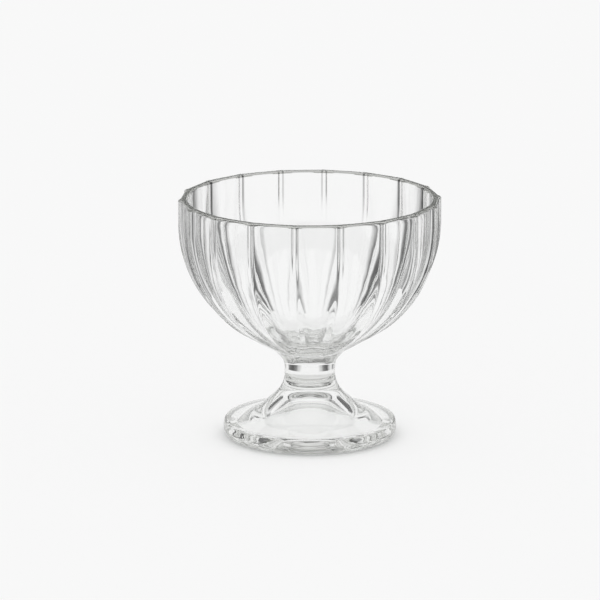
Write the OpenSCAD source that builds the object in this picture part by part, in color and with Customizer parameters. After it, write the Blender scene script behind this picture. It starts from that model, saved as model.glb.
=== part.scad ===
// Footed dessert glass of clear pressed glass.
// A fluted bowl, a short solid stem and a hollow foot, fused face to face on one upright axis.
// Millimetres, +Z up, origin on the axis at table height.

/* [Bowl] */
// Outside diameter of the bowl across the lands between the flutes
bowl_d = 100.5; // [80:0.5:130]
// Thickness of the bowl wall at the lands
wall_t = 3.9; // [3:0.1:6]
// Height of the straight wall below the rim
straight_h = 9.4; // [4:0.2:30]
// Radius of the rounding on both edges of the rim
rim_round_r = 1.1; // [0.4:0.1:1.4]
// Slope of the underside of the bowl, from the horizontal
under_slope = 29.5; // [20:0.5:40]

/* [Flutes] */
// Number of flutes round the bowl
flute_count = 18; // [12:1:28]
// Width of the plain land between two flutes at the rim
land_w = 2; // [1:0.1:6]
// Depth of a flute below a straight edge laid across it
flute_hollow = 0.4; // [0.4:0.05:1.4]
// Height above the equator of the bowl at which the floor of a flute starts to curve in
flute_lift = 1.6; // [0.5:0.1:3]
// Distance behind the axis of the centre of that curve, more for flutes that fade sooner
flute_fade = 5; // [5:0.1:8]

/* [Stem] */
// Height of the stem between its two fused joints
stem_h = 7.5; // [6:0.5:40]
// Diameter of the stem at its waist
waist_d = 19.4; // [14:0.2:24]
// Radius of the hollow blend between the stem and the bowl
under_blend_r = 8.6; // [5:0.2:10]
// Height of the bowl joint above the point where that blend starts
blend_rise = 3.6; // [1:0.1:4.8]

/* [Foot] */
// Height of the foot from the table to its joint with the stem
foot_h = 22.5; // [20:0.5:40]
// Largest diameter of the foot, on its edge
foot_d = 66.3; // [50:0.1:90]
// Height of the crease that tops the edge of the foot
edge_h = 6.8; // [5:0.1:9]
// Inward draft of the edge above its widest line, in degrees
edge_draft = 7; // [2:0.5:15]
// Radius of the rounding between the edge and the base ring
base_round_r = 3.5; // [1:0.1:4.5]
// Slope of the apron inside the crease, from the horizontal
apron_slope = 10; // [4:0.5:15]
// Radius of the hollow sweep between the apron and the cone above it
sweep_r = 16; // [8:0.5:20]
// Slope of the cone above the sweep, from the horizontal
cone_slope = 42.5; // [35:0.5:50]
// Radius of the hollow flare between the cone and the stem
flare_r = 11; // [7:0.2:13]
// Depth of the stem joint below the point where the flare starts
flare_drop = 2; // [0.5:0.1:3]

/* [Hollow under the foot] */
// Diameter of the hollow at the base ring
hollow_d = 54; // [46:0.5:56]
// Height of the hollow above the table
hollow_h = 16.2; // [14:0.1:17.5]
// Radius of the dome at the top of the hollow
dome_r = 13; // [9:0.5:15]
// Slope of the flank below the dome, from the horizontal
flank_slope = 45; // [40:0.5:50]
// Slope of the brim below the flank, from the horizontal
brim_slope = 22; // [16:0.5:28]
// Radius of the turn between the brim and the flank
turn_r = 10; // [4:0.5:14]

/* [Hidden] */
$fn = 96;
flute_fn = 360; // finer than the rest, because the arc of a flute is wide and shallow
glass_colour = [0.9, 0.95, 0.95, 0.6];
overshoot = 1; // how far a cut runs past the face it opens
least_ring_w = 1.5; // least width of the flat ring that the glass stands on

bowl_r = bowl_d / 2;
inner_r = bowl_r - wall_t;
waist_r = waist_d / 2;
foot_r = foot_d / 2;
hollow_r = min(hollow_d / 2, foot_r - base_round_r - least_ring_w);
bowl_joint_z = foot_h + stem_h;

// Blend from the stem to the underside of the bowl, an arc that is hollow towards the outside
blend_c = [waist_r + under_blend_r, bowl_joint_z - blend_rise];
blend_end = blend_c + under_blend_r * [-sin(under_slope), cos(under_slope)];
bowl_joint_r = blend_c.x - sqrt(pow(under_blend_r, 2) - pow(blend_rise, 2));

// The round of the bowl, a sphere that touches the cone above the blend
round_lift = (bowl_r + under_blend_r - blend_c.x * sin(under_slope)) / cos(under_slope);
equator_z = blend_c.y + round_lift;
rim_z = equator_z + straight_h;
cone_top = [bowl_r * sin(under_slope), equator_z - bowl_r * cos(under_slope)];

// A flute has an arc of flute_r as its section, with its floor flute_depth below the lands.
// The floor is straight below the rim, then an arc about a point behind the axis,
// so that the flute grows shallow and runs out towards the stem.
flute_half_angle = 180 / flute_count - land_w / 2 / bowl_r * 180 / PI;
flute_half_w = bowl_r * sin(flute_half_angle);
flute_r = (pow(flute_half_w, 2) + pow(flute_hollow, 2)) / (2 * flute_hollow);
flute_depth = bowl_r * (1 - cos(flute_half_angle)) + flute_hollow;
flute_axis_r = bowl_r - flute_depth + flute_r;
flute_z = equator_z + flute_lift;
cutter_half_angle = 180 / flute_count - land_w / 6 / bowl_r * 180 / PI;

// Flare from the stem to the cone of the foot
flare_c = [waist_r + flare_r, foot_h + flare_drop];
flare_end = flare_c - flare_r * [sin(cone_slope), cos(cone_slope)];
foot_joint_r = flare_c.x - sqrt(pow(flare_r, 2) - pow(flare_drop, 2));

// The edge of the foot, and the corner where the line of the cone meets the line of the apron
crease = [foot_r - (edge_h - base_round_r) * tan(edge_draft), edge_h];
apron_rise = flare_end.y - crease.y - (crease.x - flare_end.x) * tan(apron_slope);
corner_run = apron_rise / (tan(cone_slope) - tan(apron_slope));
corner = flare_end + corner_run * [1, -tan(cone_slope)];

// Sweep that rounds that corner, kept short of the flare
sweep_half_angle = (cone_slope - apron_slope) / 2;
sweep_t = min(sweep_r * tan(sweep_half_angle), 0.9 * corner_run / cos(cone_slope));
sweep_fit_r = sweep_t / tan(sweep_half_angle);
sweep_top = corner + sweep_t * [-cos(cone_slope), sin(cone_slope)];
sweep_low = corner + sweep_t * [cos(apron_slope), -sin(apron_slope)];
sweep_c = sweep_low + sweep_fit_r * [sin(apron_slope), cos(apron_slope)];

// The hollow is a bell: a dome, a flank that touches it, and a brim that runs out to the base ring
dome_z = hollow_h - dome_r;
dome_touch = [0, dome_z] + dome_r * [sin(flank_slope), cos(flank_slope)];
flank_top = dome_touch.y + dome_touch.x * tan(flank_slope);
bend_r = (flank_top - hollow_r * tan(brim_slope)) / (tan(flank_slope) - tan(brim_slope));
bend = [bend_r, (hollow_r - bend_r) * tan(brim_slope)];

// Turn that rounds the bend between flank and brim, kept short of the dome and the base ring
turn_half_angle = (flank_slope - brim_slope) / 2;
turn_room = min(norm(bend - dome_touch), norm(bend - [hollow_r, 0]));
turn_t = min(turn_r * tan(turn_half_angle), 0.9 * turn_room);
turn_fit_r = turn_t / tan(turn_half_angle);
turn_top = bend + turn_t * [-cos(flank_slope), sin(flank_slope)];
turn_low = bend + turn_t * [cos(brim_slope), -sin(brim_slope)];
turn_c = turn_low + turn_fit_r * [sin(brim_slope), cos(brim_slope)];

// Right half of a disc about the axis, from the height low to the height high
module half_disc(r, z, low, high) {
    intersection() {
        translate([0, z])
            circle(r);
        translate([0, low])
            square([r + overshoot, high - low]);
    }
}

// What a rounding of radius r takes off a corner c on top of the wall, with side 1 outside and -1 inside
module corner_waste(r, c, side) {
    difference() {
        translate(c + [side > 0 ? -r : -overshoot, -r])
            square([r + overshoot, r + overshoot]);
        translate(c - [side * r, r])
            circle(r);
    }
}

module bowl_section() {
    difference() {
        union() {
            polygon([
                [0, bowl_joint_z], [bowl_joint_r, bowl_joint_z], blend_end, cone_top,
                [bowl_r, equator_z], [bowl_r, rim_z], [0, rim_z]
            ]);
            half_disc(bowl_r, equator_z, equator_z - bowl_r, equator_z + straight_h / 2);
        }
        translate(blend_c)
            circle(under_blend_r);
        translate([0, equator_z])
            circle(inner_r);
        translate([0, equator_z])
            square([inner_r, straight_h + overshoot]);
        corner_waste(rim_round_r, [bowl_r, rim_z], 1);
        corner_waste(rim_round_r, [inner_r, rim_z], -1);
    }
}

// Cutter for one flute, facing +X, held within its own share of the bowl
module flute_cutter() {
    reach = bowl_r + overshoot;
    intersection() {
        union() {
            translate([flute_axis_r, 0, flute_z])
                cylinder(r = flute_r, h = rim_z - flute_z + overshoot, $fn = flute_fn);
            translate([-flute_fade, 0, flute_z])
                rotate([-90, 0, 0])
                    rotate_extrude(angle = 90 - under_slope)
                        translate([flute_axis_r + flute_fade, 0])
                            circle(flute_r, $fn = flute_fn);
        }
        translate([0, 0, bowl_joint_z])
            linear_extrude(rim_z - bowl_joint_z + 2 * overshoot)
                polygon([
                    [0, 0],
                    reach * [1, tan(cutter_half_angle)],
                    reach * [1, -tan(cutter_half_angle)]
                ]);
    }
}

module bowl() {
    color(glass_colour)
        difference() {
            rotate_extrude()
                bowl_section();
            // one land is centred on -Y
            for (i = [0 : flute_count - 1])
                rotate([0, 0, (i + 0.5) * 360 / flute_count - 90])
                    flute_cutter();
        }
}

module stem() {
    color(glass_colour)
        rotate_extrude()
            difference() {
                polygon([
                    [0, foot_h], [foot_joint_r, foot_h], [waist_r, flare_c.y],
                    [waist_r, blend_c.y], [bowl_joint_r, bowl_joint_z], [0, bowl_joint_z]
                ]);
                translate(flare_c)
                    circle(flare_r);
                translate(blend_c)
                    circle(under_blend_r);
            }
}

module foot_section() {
    difference() {
        union() {
            polygon([
                [0, 0], [foot_r - base_round_r, 0], [foot_r, base_round_r], crease,
                sweep_low, sweep_top, flare_end, [foot_joint_r, foot_h], [0, foot_h]
            ]);
            translate([foot_r - base_round_r, base_round_r])
                circle(base_round_r);
        }
        translate(sweep_c)
            circle(sweep_fit_r);
        translate(flare_c)
            circle(flare_r);
        difference() {
            polygon([
                [0, -overshoot], [hollow_r, -overshoot], [hollow_r, 0],
                turn_low, turn_top, dome_touch, [0, dome_touch.y]
            ]);
            translate(turn_c)
                circle(turn_fit_r);
        }
        half_disc(dome_r, dome_z, dome_touch.y - overshoot, hollow_h + overshoot);
    }
}

module foot() {
    color(glass_colour)
        rotate_extrude()
            foot_section();
}

bowl();
stem();
foot();
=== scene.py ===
import bpy
import math
import numpy as np
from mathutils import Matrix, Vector


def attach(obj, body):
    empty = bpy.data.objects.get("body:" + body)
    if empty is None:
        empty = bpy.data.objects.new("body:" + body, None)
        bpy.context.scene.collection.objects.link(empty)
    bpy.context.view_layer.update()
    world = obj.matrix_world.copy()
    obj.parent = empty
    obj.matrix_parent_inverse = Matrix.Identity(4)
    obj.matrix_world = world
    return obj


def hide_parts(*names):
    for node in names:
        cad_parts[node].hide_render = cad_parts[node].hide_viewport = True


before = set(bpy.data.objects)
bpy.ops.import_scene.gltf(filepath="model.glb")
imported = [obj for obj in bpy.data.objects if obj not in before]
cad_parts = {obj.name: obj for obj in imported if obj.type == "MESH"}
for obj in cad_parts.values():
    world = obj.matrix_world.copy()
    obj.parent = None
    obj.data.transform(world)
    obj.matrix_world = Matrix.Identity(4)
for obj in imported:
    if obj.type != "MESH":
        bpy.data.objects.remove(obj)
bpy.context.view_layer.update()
scene = bpy.context.scene
scene.view_settings.view_transform = "Standard"
mm = 0.001
samePoint = 1e-4  # mm, a profile point nearer than this to the last one is left out
weldDistance = 2e-6  # m, where the spun profile closes
tiny = 1e-6  # keeps a division off zero
print("frame loaded:", sorted(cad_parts))


# points of an arc in the profile plane, angles in degrees from outwards (0) to up (90)
def arcPoints(centre, radius, startAngle, endAngle, steps):
    turns = [math.radians(startAngle + (endAngle - startAngle) * i / steps) for i in range(steps + 1)]
    return [(centre[0] + radius * math.cos(t), centre[1] + radius * math.sin(t)) for t in turns]


def linePoints(start, end, steps):
    return [(start[0] + (end[0] - start[0]) * i / steps, start[1] + (end[1] - start[1]) * i / steps)
            for i in range(steps + 1)]


# curve that leaves start towards the handle and comes in to end from it
def bendPoints(start, handle, end, steps):
    first, second = linePoints(start, handle, steps), linePoints(handle, end, steps)
    return [linePoints(first[i], second[i], steps)[i] for i in range(steps + 1)]


# rounds the corner of a profile at b, on the way from a to c
def roundCorner(a, b, c, radius, steps):
    toA, toC = (Vector(a) - Vector(b)).normalized(), (Vector(c) - Vector(b)).normalized()
    half = toA.angle(toC) / 2
    cut = radius / math.tan(half)
    centre = Vector(b) + (toA + toC).normalized() * radius / math.sin(half)
    start, end = Vector(b) + toA * cut - centre, Vector(b) + toC * cut - centre
    swing = start.angle_signed(end)
    points = []
    for i in range(steps + 1):
        t = -swing * i / steps
        points.append((centre.x + start.x * math.cos(t) - start.y * math.sin(t),
                       centre.y + start.x * math.sin(t) + start.y * math.cos(t)))
    return points


# joins runs of points and drops a point that repeats the one before it
def chainPoints(*runs):
    points = []
    for run in runs:
        for p in run:
            if not points or math.dist(p, points[-1]) > samePoint:
                points.append(p)
    return points


def angleFrom(centre, point):
    return math.degrees(math.atan2(point[1] - centre[1], point[0] - centre[0])) % 360


# draws a profile by hand, vertex after vertex, and spins it round the upright axis
def turnProfile(name, points, columns):
    bpy.ops.object.select_all(action="DESELECT")
    bpy.ops.mesh.primitive_plane_add(size=0.01)
    piece = bpy.context.active_object
    piece.name = piece.data.name = name
    bpy.ops.object.mode_set(mode="EDIT")
    bpy.ops.mesh.select_all(action="SELECT")
    bpy.ops.mesh.merge(type="CENTER")
    here = (0, 0)
    for i, there in enumerate(points):
        step = ((there[0] - here[0]) * mm, 0, (there[1] - here[1]) * mm)
        if i == 0:
            bpy.ops.transform.translate(value=step)
        else:
            bpy.ops.mesh.extrude_vertices_move(TRANSFORM_OT_translate={"value": step})
        here = there
    bpy.ops.mesh.select_all(action="SELECT")
    bpy.ops.mesh.spin(steps=columns, angle=2 * math.pi, center=(0, 0, 0), axis=(0, 0, 1))
    bpy.ops.mesh.select_all(action="SELECT")
    bpy.ops.mesh.remove_doubles(threshold=weldDistance)
    bpy.ops.mesh.normals_make_consistent(inside=False)
    bpy.ops.object.mode_set(mode="OBJECT")
    print(name, "turned:", len(piece.data.vertices), "vertices")
    return piece


def readVertices(piece):
    co = np.empty(len(piece.data.vertices) * 3)
    piece.data.vertices.foreach_get("co", co)
    return co.reshape(-1, 3) / mm


def writeVertices(piece, co):
    piece.data.vertices.foreach_set("co", (co * mm).ravel())
    piece.data.update()


# bowl: round outside with pressed flutes, smooth inside, solid bottom
# the flutes are nearly flat at the rim, where small ribs stand between them, and hollow lower down
bowlSet = {
    "joint": (10.49, 30.0),
    "jointSlope": 52.0,
    "blendEnd": (14.065, 33.885),
    "underSlope": 29.5,
    "outerRadius": 50.25,
    "innerRadius": 46.35,
    "equator": 83.66,
    "rim": 93.06,
    "rimRound": 1.1,
    "fluteCount": 18,
    "landWidth": 0.45,
    "edgeSoftness": 0.35,
    # depth of a flute, and then of the step beside a rib, at each height
    "hollowAtHeight": ((33, 0), (36, 0.15), (40, 0.42), (47, 0.75), (58, 0.85), (66, 0.8), (75, 0.6),
                       (84, 0.3), (93, 0.1)),
    "ribAtHeight": ((68, 0), (76, 0.2), (84, 0.45), (93, 0.5)),
    "ribFlank": 1.2,
    # share of the flutes that is left towards the stem, at each radius
    "fadeAtRadius": ((10.5, 0), (13, 0.07), (18, 0.48), (25, 1)),
    "plainRadius": 0.05,  # width round the joint that stays plain
    "leastRadius": 6,  # nearer to the axis the lands get no wider in angle
    "outerSkin": 0.5,  # below the equator, glass this far outside the inner round is all outside
    "axisRadius": 0.001,  # vertices nearer to the axis than this stay on it
    # where the columns of vertices stand, as shares of half a land and of half a flute
    "landStops": (0, 0.45, 0.75, 0.92, 1),
    "fluteStops": (0.02, 0.045, 0.075, 0.11, 0.15, 0.2, 0.27, 0.36, 0.46, 0.58, 0.72, 0.86, 1),
    "steps": {"blend": 12, "cone": 10, "roundOut": 48, "wallOut": 6, "rim": 7, "rimTop": 3, "wallIn": 4,
              "roundIn": 40},
    "rimFacing": 0.25,  # faces at the rim that look up more than this are its top
}


def makeBowl(s):
    centre = (0, s["equator"])
    outerR, innerR, rimR, rimZ = s["outerRadius"], s["innerRadius"], s["rimRound"], s["rim"]
    steps = s["steps"]
    # the underside leaves the fused joint at its own slope, so that the joint shows as a fine line
    rise, run = math.tan(math.radians(s["jointSlope"])), math.tan(math.radians(s["underSlope"]))
    (jointR, jointZ), (endR, endZ) = s["joint"], s["blendEnd"]
    handleR = (endZ - jointZ + rise * jointR - run * endR) / (rise - run)
    handle = (handleR, jointZ + rise * (handleR - jointR))
    blend = bendPoints(s["joint"], handle, s["blendEnd"], steps["blend"])
    roundOut = arcPoints(centre, outerR, s["underSlope"] - 90, 0, steps["roundOut"])
    cone = linePoints(blend[-1], roundOut[0], steps["cone"])
    wallOut = linePoints((outerR, s["equator"]), (outerR, rimZ - rimR), steps["wallOut"])
    rimOut = arcPoints((outerR - rimR, rimZ - rimR), rimR, 0, 90, steps["rim"])
    rimIn = arcPoints((innerR + rimR, rimZ - rimR), rimR, 90, 180, steps["rim"])
    rimTop = linePoints(rimOut[-1], rimIn[0], steps["rimTop"])
    wallIn = linePoints((innerR, rimZ - rimR), (innerR, s["equator"]), steps["wallIn"])
    roundIn = arcPoints(centre, innerR, 0, -90, steps["roundIn"])
    points = chainPoints([(0, jointZ), s["joint"]], blend, cone, roundOut, wallOut, rimOut, rimTop, rimIn,
                         wallIn, roundIn)
    halfColumns = len(s["landStops"]) - 1 + len(s["fluteStops"])
    piece = turnProfile("bowl_glass", points, 2 * halfColumns * s["fluteCount"])

    # flutes: the columns gather at the edges of the lands, then the outside sinks between the lands
    co = readVertices(piece)
    radius, height = np.hypot(co[:, 0], co[:, 1]), co[:, 2]
    pitch = 2 * math.pi / s["fluteCount"]
    turn = np.arctan2(co[:, 1], co[:, 0]) + math.pi / 2
    column = np.rint(turn / pitch * 2 * halfColumns)
    landIndex = np.rint(column / (2 * halfColumns))
    place = column - landIndex * 2 * halfColumns
    side, stop = np.sign(place), np.abs(place).astype(int)
    shownRadius = np.maximum(radius, s["leastRadius"])
    landAngle = s["landWidth"] / 2 / shownRadius
    landPart = np.array(list(s["landStops"]) + [1] * len(s["fluteStops"]))[stop]
    flutePart = np.array([0] * len(s["landStops"]) + list(s["fluteStops"]))[stop]
    fromLand = landAngle * landPart + (pitch / 2 - landAngle) * flutePart
    turn = landIndex * pitch + side * fromLand - math.pi / 2

    below = np.minimum(height - s["equator"], 0)
    reach = np.hypot(radius, below)
    outside = np.clip((reach - innerR) / (outerR - innerR), 0, 1)
    outside[(height < s["equator"]) & (reach > innerR + s["outerSkin"])] = 1
    fluteHalf = pitch / 2 - landAngle
    off = (pitch / 2 - fromLand) / fluteHalf
    halfWidth = shownRadius * np.sin(fluteHalf)
    hollow = np.interp(height, *zip(*s["hollowAtHeight"]))
    fade = np.interp(radius, *zip(*s["fadeAtRadius"]))
    flank = np.clip((1 - off) * halfWidth / s["ribFlank"], 0, 1)
    rib = np.interp(height, *zip(*s["ribAtHeight"])) * flank * flank * (3 - 2 * flank)
    deep = (halfWidth ** 2 / 2 / outerR * fade + hollow) * (1 - off ** 2) + rib
    soft = s["edgeSoftness"] * fade
    sink = 0.5 * (deep + np.sqrt(deep ** 2 + soft ** 2)) * outside
    sink[radius < jointR + s["plainRadius"]] = 0
    inward = np.stack([radius, below], 1) / np.maximum(reach, tiny)[:, None]
    newRadius = radius - sink * inward[:, 0]
    co[:, 2] -= sink * inward[:, 1]
    keep = radius > s["axisRadius"]
    co[keep, 0] = (newRadius * np.cos(turn))[keep]
    co[keep, 1] = (newRadius * np.sin(turn))[keep]
    writeVertices(piece, co)
    return piece


# stem: short solid waist
stemSet = {
    "footJoint": (9.88, 22.5),
    "flareCentre": (20.7, 24.5),
    "flareRadius": 11.0,
    "blendCentre": (18.3, 26.4),
    "blendRadius": 8.6,
    "bowlJoint": bowlSet["joint"],
    "columns": 240,
    "steps": {"lower": 10, "waist": 4, "upper": 16},
}


def makeStem(s):
    low, high = angleFrom(s["flareCentre"], s["footJoint"]), angleFrom(s["blendCentre"], s["bowlJoint"])
    steps = s["steps"]
    lower = arcPoints(s["flareCentre"], s["flareRadius"], low, 180, steps["lower"])
    upper = arcPoints(s["blendCentre"], s["blendRadius"], 180, high, steps["upper"])
    waist = linePoints(lower[-1], upper[0], steps["waist"])
    points = chainPoints([(0, s["footJoint"][1])], lower, waist, upper, [(0, s["bowlJoint"][1])])
    return turnProfile("stem_glass", points, s["columns"])


# foot: hollow bell with a thick edge
footSet = {
    "joint": stemSet["footJoint"],
    "flareCentre": stemSet["flareCentre"],
    "flareRadius": stemSet["flareRadius"],
    "coneSlope": 42.5,
    "sweepCentre": (28.96, 23.71),
    "sweepRadius": 16.0,
    "apronSlope": 10.0,
    "crease": (32.745, 6.8),
    "creaseRound": 1.6,
    "edgeRadius": 33.15,
    "baseRound": 3.5,
    "hollowRadius": 27.0,
    "hollowHeight": 16.2,
    "domeRadius": 13.0,
    "flankSlope": 45.0,
    "brimSlope": 22.0,
    "turnRadius": 10.0,
    "lipRound": 1.2,
    "columns": 300,
    "steps": {"flare": 14, "cone": 6, "sweep": 16, "apron": 6, "crease": 8, "edge": 4, "base": 14, "lip": 6,
              "brim": 6, "turn": 8, "flank": 6, "dome": 14},
}


def makeFoot(s):
    steps = s["steps"]
    flareStart = angleFrom(s["flareCentre"], s["joint"])
    coneAngle, apronAngle = 270 - s["coneSlope"], 270 - s["apronSlope"]
    flare = arcPoints(s["flareCentre"], s["flareRadius"], flareStart, coneAngle, steps["flare"])
    sweep = arcPoints(s["sweepCentre"], s["sweepRadius"], coneAngle, apronAngle, steps["sweep"])
    cone = linePoints(flare[-1], sweep[0], steps["cone"])
    edgeLow = (s["edgeRadius"], s["baseRound"])
    crease = roundCorner(sweep[-1], s["crease"], edgeLow, s["creaseRound"], steps["crease"])
    apron = linePoints(sweep[-1], crease[0], steps["apron"])
    edge = linePoints(crease[-1], edgeLow, steps["edge"])
    baseCentre = (s["edgeRadius"] - s["baseRound"], s["baseRound"])
    base = arcPoints(baseCentre, s["baseRound"], 0, -90, steps["base"])

    # the hollow: brim, turn, flank and dome of the bell
    domeZ, domeR, hollowR = s["hollowHeight"] - s["domeRadius"], s["domeRadius"], s["hollowRadius"]
    dome = arcPoints((0, domeZ), domeR, 90 - s["flankSlope"], 90, steps["dome"])
    flankRise, brimRise = math.tan(math.radians(s["flankSlope"])), math.tan(math.radians(s["brimSlope"]))
    bendR = (dome[0][1] + dome[0][0] * flankRise - hollowR * brimRise) / (flankRise - brimRise)
    bend = (bendR, (hollowR - bendR) * brimRise)
    lip = roundCorner(base[-1], (hollowR, 0), bend, s["lipRound"], steps["lip"])
    turn = roundCorner((hollowR, 0), bend, dome[0], s["turnRadius"], steps["turn"])
    brim = linePoints(lip[-1], turn[0], steps["brim"])
    flank = linePoints(turn[-1], dome[0], steps["flank"])
    points = chainPoints([(0, s["joint"][1])], flare, cone, sweep, apron, crease, edge, base,
                         lip, brim, turn, flank, dome)
    return turnProfile("foot_glass", points, s["columns"])


# clear pressed glass: fine waviness from the mould, upright on the bowl and in rings on stem and foot,
# a breath of grey in thick places, and painted grey shade on the rim
glassSet = {
    "tint": (0.997, 0.998, 0.997, 1),
    "tintLow": (0.99, 0.993, 0.991, 1),
    "ior": 1.5,
    "waveScale": (260.0, 260.0, 80.0),
    "waveHeight": 0.00005,
    "depthColour": (0.957, 0.958, 0.9545, 1),
    "depthDensity": 50.0,
    "shadow": (0.985, 0.987, 0.985, 1),
}
footGlassSet = dict(glassSet, waveScale=(50.0, 50.0, 600.0), waveHeight=0.00002)
edgeGlassSet = dict(footGlassSet, shadow=(0.6, 0.61, 0.6, 1))
# the rim glass is tinted grey: painted shade that gives the rim a darker outline
rimShadeGlassSet = dict(glassSet, tint=(0.89, 0.893, 0.887, 1), tintLow=(0.87, 0.873, 0.867, 1))


def makeGlass(name, s):
    mat = bpy.data.materials.new(name)
    mat.use_nodes = True
    nodes, links = mat.node_tree.nodes, mat.node_tree.links
    nodes.clear()
    out = nodes.new("ShaderNodeOutputMaterial")
    glass = nodes.new("ShaderNodeBsdfPrincipled")
    glass.inputs["Transmission Weight"].default_value = 1
    glass.inputs["IOR"].default_value = s["ior"]
    glass.inputs["Roughness"].default_value = 0
    coords, stretch = nodes.new("ShaderNodeTexCoord"), nodes.new("ShaderNodeMapping")
    stretch.inputs["Scale"].default_value = s["waveScale"]
    wave = nodes.new("ShaderNodeTexNoise")
    wave.inputs["Scale"].default_value = 1
    wave.inputs["Detail"].default_value = 1
    bump = nodes.new("ShaderNodeBump")
    bump.inputs["Strength"].default_value = 1
    bump.inputs["Distance"].default_value = s["waveHeight"]
    tone = nodes.new("ShaderNodeValToRGB")
    tone.color_ramp.elements[0].color = s["tintLow"]
    tone.color_ramp.elements[1].color = s["tint"]
    depth = nodes.new("ShaderNodeVolumeAbsorption")
    depth.inputs["Color"].default_value = s["depthColour"]
    depth.inputs["Density"].default_value = s["depthDensity"]
    # shadow rays and rays from the floor go straight through, so that the floor under the foot stays bright
    path = nodes.new("ShaderNodeLightPath")
    seeThrough = nodes.new("ShaderNodeBsdfTransparent")
    seeThrough.inputs["Color"].default_value = s["shadow"]
    shadowMix, floorMix = nodes.new("ShaderNodeMixShader"), nodes.new("ShaderNodeMixShader")
    links.new(coords.outputs["Object"], stretch.inputs["Vector"])
    links.new(stretch.outputs["Vector"], wave.inputs["Vector"])
    links.new(wave.outputs["Fac"], bump.inputs["Height"])
    links.new(wave.outputs["Fac"], tone.inputs["Fac"])
    links.new(bump.outputs["Normal"], glass.inputs["Normal"])
    links.new(tone.outputs["Color"], glass.inputs["Base Color"])
    links.new(path.outputs["Is Shadow Ray"], shadowMix.inputs["Fac"])
    links.new(glass.outputs["BSDF"], shadowMix.inputs[1])
    links.new(seeThrough.outputs["BSDF"], shadowMix.inputs[2])
    links.new(path.outputs["Is Diffuse Ray"], floorMix.inputs["Fac"])
    links.new(shadowMix.outputs["Shader"], floorMix.inputs[1])
    links.new(seeThrough.outputs["BSDF"], floorMix.inputs[2])
    links.new(floorMix.outputs["Shader"], out.inputs["Surface"])
    links.new(depth.outputs["Volume"], out.inputs["Volume"])
    return mat


# the fused joints let light straight through, as the melted glass does
def makeSeam():
    mat = bpy.data.materials.new("fused_joint")
    mat.use_nodes = True
    nodes, links = mat.node_tree.nodes, mat.node_tree.links
    nodes.clear()
    out = nodes.new("ShaderNodeOutputMaterial")
    clear = nodes.new("ShaderNodeBsdfTransparent")
    links.new(clear.outputs["BSDF"], out.inputs["Surface"])
    return mat


# gives the faces that pass the test the material of that slot
def assignFaces(piece, slot, test):
    bpy.ops.object.select_all(action="DESELECT")
    piece.select_set(True)
    bpy.context.view_layer.objects.active = piece
    bpy.ops.object.mode_set(mode="EDIT")
    bpy.ops.mesh.select_all(action="DESELECT")
    bpy.ops.object.mode_set(mode="OBJECT")
    for face in piece.data.polygons:
        face.select = test(face)
    bpy.ops.object.mode_set(mode="EDIT")
    piece.active_material_index = slot
    bpy.ops.object.material_slot_assign()
    bpy.ops.object.mode_set(mode="OBJECT")
    piece.active_material_index = 0


dressSet = {
    "smoothAngle": 35,
    "flatFacing": 0.999,  # faces that look up or down at least this much are level
    "jointReach": 1e-5,  # m, how near to a joint's height such a face lies
}


def dressGlass(piece, mats, jointHeights, s):
    for mat in mats:
        piece.data.materials.append(mat)
    bpy.ops.object.select_all(action="DESELECT")
    piece.select_set(True)
    bpy.context.view_layer.objects.active = piece
    bpy.ops.object.shade_smooth_by_angle(angle=math.radians(s["smoothAngle"]))
    assignFaces(piece, 1, lambda face: abs(face.normal.z) > s["flatFacing"]
                and any(abs(face.center.z - z * mm) < s["jointReach"] for z in jointHeights))


bowl = makeBowl(bowlSet)
stem = makeStem(stemSet)
foot = makeFoot(footSet)
seamMat = makeSeam()
bowlMat, rimShadeMat = makeGlass("clear_bowl_glass", glassSet), makeGlass("rim_glass_painted_grey", rimShadeGlassSet)
footMat, edgeMat = makeGlass("clear_foot_glass", footGlassSet), makeGlass("thick_edge_glass", edgeGlassSet)
bowlJointZ, footJointZ = stemSet["bowlJoint"][1], stemSet["footJoint"][1]
dressGlass(bowl, [bowlMat, seamMat, rimShadeMat], [bowlJointZ], dressSet)
dressGlass(stem, [footMat, seamMat], [bowlJointZ, footJointZ], dressSet)
dressGlass(foot, [footMat, seamMat, edgeMat], [footJointZ], dressSet)
rimLow = (bowlSet["rim"] - bowlSet["rimRound"]) * mm
# the top faces of the rim get the grey rim glass, painted shade
assignFaces(bowl, 2, lambda face: face.center.z > rimLow and face.normal.z > bowlSet["rimFacing"])
edgeInside = (footSet["edgeRadius"] - footSet["baseRound"]) * mm
edgeHigh = footSet["baseRound"] * mm
assignFaces(foot, 2, lambda face: face.center.xy.length > edgeInside and face.center.z < edgeHigh)
for piece, node in ((bowl, "bowl"), (stem, "stem"), (foot, "foot")):
    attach(piece, "root")
    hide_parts(node)
print("glass pieces dressed")

# plain pale floor in an even pale room
stageSet = {
    "pale": 0.94,
    "floorRadius": 3.0,
    "floorSides": 128,
    "floorDrop": 0.00005,
    "roomLight": 1.0,
}


def makeFloor(s):
    bpy.ops.object.select_all(action="DESELECT")
    bpy.ops.mesh.primitive_circle_add(vertices=s["floorSides"], radius=s["floorRadius"], fill_type="NGON",
                                      location=(0, 0, -s["floorDrop"]))
    bpy.ops.object.transform_apply(location=True)
    floor = bpy.context.active_object
    floor.name = floor.data.name = "floor"
    mat = bpy.data.materials.new("pale_floor")
    mat.use_nodes = True
    paint = mat.node_tree.nodes["Principled BSDF"]
    paint.inputs["Base Color"].default_value = (s["pale"], s["pale"], s["pale"], 1)
    paint.inputs["Roughness"].default_value = 1
    paint.inputs["Specular IOR Level"].default_value = 0
    floor.data.materials.append(mat)


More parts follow.
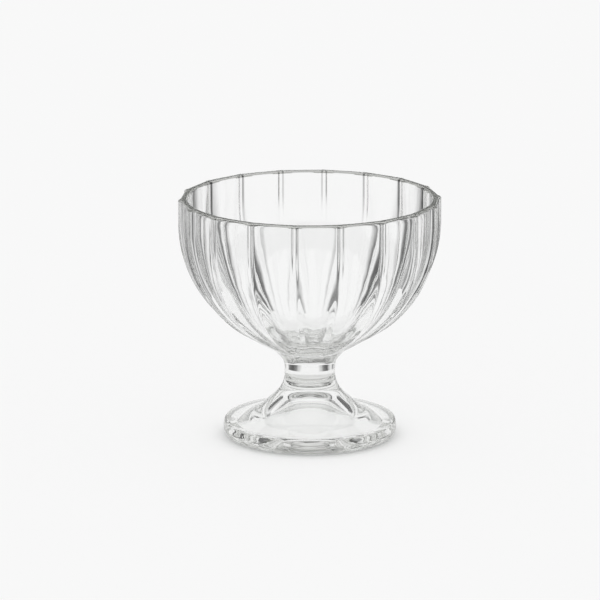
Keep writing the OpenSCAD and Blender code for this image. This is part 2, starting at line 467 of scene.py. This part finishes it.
# the camera, gloss and glass see the pale tone, everything else gets plain light
def makeRoom(s):
    world = bpy.data.worlds.new("pale_room")
    scene.world = world
    world.use_nodes = True
    nodes, links = world.node_tree.nodes, world.node_tree.links
    path = nodes.new("ShaderNodeLightPath")
    bent, shown = nodes.new("ShaderNodeMath"), nodes.new("ShaderNodeMath")
    bent.operation = shown.operation = "MAXIMUM"
    level = nodes.new("ShaderNodeMapRange")
    level.inputs["To Min"].default_value = s["roomLight"]
    level.inputs["To Max"].default_value = s["pale"]
    links.new(path.outputs["Is Glossy Ray"], bent.inputs[0])
    links.new(path.outputs["Is Transmission Ray"], bent.inputs[1])
    links.new(bent.outputs["Value"], shown.inputs[0])
    links.new(path.outputs["Is Camera Ray"], shown.inputs[1])
    links.new(shown.outputs["Value"], level.inputs["Value"])
    nodes["Background"].inputs["Color"].default_value = (1, 1, 1, 1)
    links.new(level.outputs["Result"], nodes["Background"].inputs["Strength"])


# dark studio cards that only the glass sees, as in a glass photographer's set: one lies on the floor round
# the glass and is turned up at its outer edge, and one hangs as a ring above the rim
cardSet = {
    "inner": 105,
    "outer": 450,
    "high": 110,
    "lift": 0.2,
    "tone": 0.04,
    "columns": 180,
    # how dark the floor card is at each angle, in degrees to the right of straight behind the glass
    "shade": ((-88, 0), (-77, 0.1), (-69, 0.85), (-61, 0.15), (-51, 0.9), (-42, 0.1), (-36, 0.35), (-29, 1),
              (-22, 0.85), (-17, 0.35), (-11, 0), (11, 0), (17, 0.35), (22, 0.85), (29, 1), (39, 0.95),
              (46, 0.1), (55, 0.1), (65, 0.9), (73, 0.15), (80, 0.75), (90, 0)),
    "ringTone": 0.05,
    "ringRadius": 120,
    "ringLow": 110,
    "ringHigh": 190,
}


def makeCard(name, points, columns, tone):
    card = turnProfile(name, points, columns)
    mat = bpy.data.materials.new(name)
    mat.use_nodes = True
    nodes, links = mat.node_tree.nodes, mat.node_tree.links
    nodes.clear()
    out, glow = nodes.new("ShaderNodeOutputMaterial"), nodes.new("ShaderNodeEmission")
    glow.inputs["Strength"].default_value = tone
    links.new(glow.outputs["Emission"], out.inputs["Surface"])
    card.data.materials.append(mat)
    card.visible_camera = card.visible_diffuse = card.visible_shadow = False
    return card


# the dark of the floor card comes and goes softly round the glass, and the rest of it is clear
def fadeCard(card, s, facing):
    tree = card.data.materials[0].node_tree
    nodes, links = tree.nodes, tree.links
    place, turn = nodes.new("ShaderNodeTexCoord"), nodes.new("ShaderNodeMapping")
    turn.inputs["Scale"].default_value = (1, -1, 1)
    turn.inputs["Rotation"].default_value = (0, 0, math.radians(90 + facing))
    around, ramp = nodes.new("ShaderNodeTexGradient"), nodes.new("ShaderNodeValToRGB")
    around.gradient_type = "RADIAL"
    ramp.color_ramp.interpolation = "EASE"
    stops = ramp.color_ramp.elements
    stops[0].position, stops[0].color = 0, (0, 0, 0, 1)
    stops[1].position, stops[1].color = 1, (0, 0, 0, 1)
    for angle, dark in s["shade"]:
        stops.new(0.5 + angle / 360).color = (dark, dark, dark, 1)
    clear, mix = nodes.new("ShaderNodeBsdfTransparent"), nodes.new("ShaderNodeMixShader")
    links.new(place.outputs["Object"], turn.inputs["Vector"])
    links.new(turn.outputs["Vector"], around.inputs["Vector"])
    links.new(around.outputs["Fac"], ramp.inputs["Fac"])
    links.new(ramp.outputs["Color"], mix.inputs["Fac"])
    links.new(clear.outputs["BSDF"], mix.inputs[1])
    links.new(nodes["Emission"].outputs["Emission"], mix.inputs[2])
    links.new(mix.outputs["Shader"], nodes["Material Output"].inputs["Surface"])


def makeCards(s, facing):
    bent = [(s["inner"], s["lift"]), (s["outer"], s["lift"]), (s["outer"], s["high"])]
    fadeCard(makeCard("floor_card", bent, s["columns"], s["tone"]), s, facing)
    ring = [(s["ringRadius"], s["ringLow"]), (s["ringRadius"], s["ringHigh"])]
    makeCard("ring_card", ring, s["columns"], s["ringTone"])


# camera at the photo's viewing angle
cameraSet = {
    "target": (0, 0, 0.046),
    "distance": 2.0,
    "azimuth": 6.55,
    "elevation": 14.13,
    "lens": 314.16,
    "sensor": 36,
    "shiftX": -0.0165,
    "shiftY": 0.029,
    "clipEnd": 20,
}


def makeCamera(s):
    a, e = math.radians(s["azimuth"]), math.radians(s["elevation"])
    back = Vector((math.sin(a) * math.cos(e), -math.cos(a) * math.cos(e), math.sin(e)))
    bpy.ops.object.camera_add(location=Vector(s["target"]) + back * s["distance"])
    camera = bpy.context.active_object
    camera.name = "photo_camera"
    camera.rotation_euler = (-back).to_track_quat("-Z", "Y").to_euler()
    camera.data.lens = s["lens"]
    camera.data.sensor_width = s["sensor"]
    camera.data.shift_x = s["shiftX"]
    camera.data.shift_y = s["shiftY"]
    camera.data.clip_end = s["clipEnd"]
    scene.camera = camera


makeFloor(stageSet)
makeRoom(stageSet)
makeCards(cardSet, cameraSet["azimuth"])
makeCamera(cameraSet)
print("stage, cards and camera set")

# light has to cross many walls of glass
lightBounces = 32
scene.cycles.max_bounces = lightBounces
scene.cycles.transmission_bounces = lightBounces
scene.cycles.glossy_bounces = lightBounces
scene.cycles.transparent_max_bounces = lightBounces
